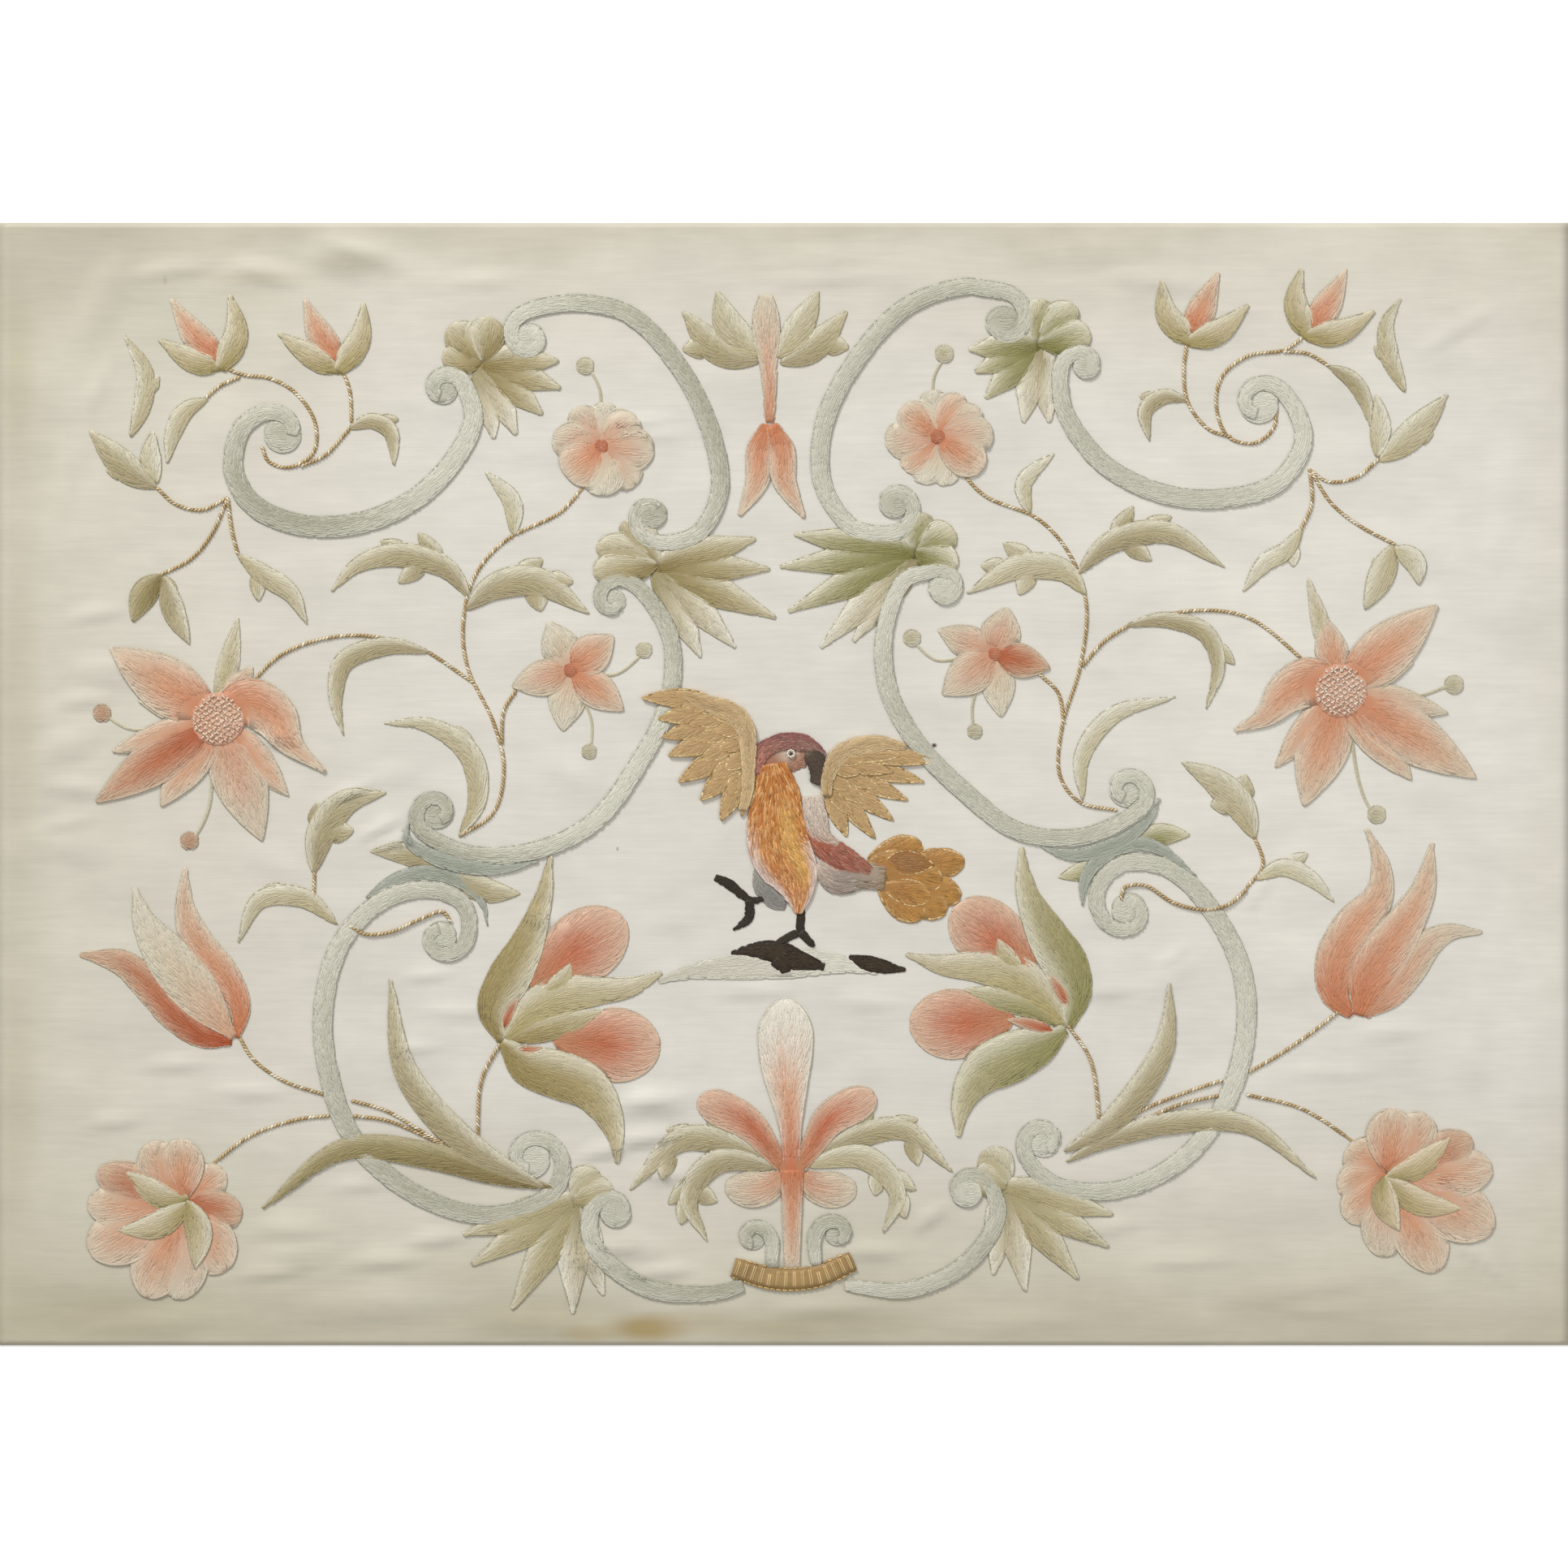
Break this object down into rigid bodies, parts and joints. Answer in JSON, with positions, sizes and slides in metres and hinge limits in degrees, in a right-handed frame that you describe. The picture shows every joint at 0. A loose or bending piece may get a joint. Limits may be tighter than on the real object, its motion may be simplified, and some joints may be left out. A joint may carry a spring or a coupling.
{
  "type": "embroidered silk panel",
  "caption": "Flat oblong ivory silk panel embroidered with mirrored scrolls, leafy sprays and coral flowers around a spread-winged bird, lying face up.",
  "frame": {"origin": "on the underside of the silk, at the middle of the panel", "axes": "+X along the long side, towards the bird's tail; +Y towards the panel's upper edge; +Z out of the embroidered face"},
  "size_m": [0.773, 0.553, 0.0034],
  "materials": {
    "silk_satin": "soft satin sheen, ivory, yellowed at its edges",
    "grey_blue_floss": "long and short silk stitches with a sheen along the thread",
    "olive_floss": "long and short silk stitches, olive to pale sage",
    "coral_floss": "long and short silk stitches, coral to blush",
    "amber_floss": "dense silk stitches, orange to yellow with a dark rose head",
    "gilt_brown_floss": "silk stitches outlined in gilt thread",
    "gold_brown_floss": "ribbed silk stitches crossed by gilt thread",
    "dark_brown_floss": "matt dark brown silk stitches"
  },
  "bodies": {
    "root": {"bird": "amber_floss", "branch_left": "olive_floss", "branch_right": "olive_floss", "bud_1_left": "coral_floss", "bud_1_right": "coral_floss", "bud_2_left": "coral_floss", "bud_2_right": "coral_floss", "coronet": "gold_brown_floss", "crest": "olive_floss", "drop": "coral_floss", "flower_round_left": "coral_floss", "flower_round_right": "coral_floss", "flower_small_left": "coral_floss", "flower_small_right": "coral_floss", "ground_cloth": "silk_satin", "husk_1_left": "olive_floss", "husk_1_right": "olive_floss", "husk_2_left": "olive_floss", "husk_2_right": "olive_floss", "husk_3_left": "olive_floss", "husk_3_right": "olive_floss", "leaf_lone_left": "olive_floss", "leaf_lone_right": "olive_floss", "lobe_left": "olive_floss", "lobe_left_part_2": "olive_floss", "lobe_right": "olive_floss", "lobe_right_part_2": "olive_floss", "mound": "dark_brown_floss", "palmette": "coral_floss", "pomegranate_left": "olive_floss", "pomegranate_right": "olive_floss", "rosette_left": "coral_floss", "rosette_right": "coral_floss", "scroll_1_left": "grey_blue_floss", "scroll_1_right": "grey_blue_floss", "scroll_2_left": "grey_blue_floss", "scroll_2_right": "grey_blue_floss", "scroll_3_left": "grey_blue_floss", "scroll_3_left_part_2": "grey_blue_floss", "scroll_3_right": "grey_blue_floss", "scroll_4_left": "grey_blue_floss", "scroll_4_left_part_2": "grey_blue_floss", "scroll_4_right": "grey_blue_floss", "scroll_4_right_part_2": "grey_blue_floss", "scroll_5_left": "grey_blue_floss", "scroll_5_right": "grey_blue_floss", "sprig_middle_left": "olive_floss", "sprig_middle_right": "olive_floss", "sprig_outer_left": "olive_floss", "sprig_outer_right": "olive_floss", "sprig_upper_left": "olive_floss", "sprig_upper_right": "olive_floss", "stand_left": "olive_floss", "stand_right": "olive_floss", "star_left": "coral_floss", "star_right": "coral_floss", "tulip_left": "coral_floss", "tulip_right": "coral_floss", "wing_left": "gilt_brown_floss", "wing_right": "gilt_brown_floss"}
  },
  "joints": []
}
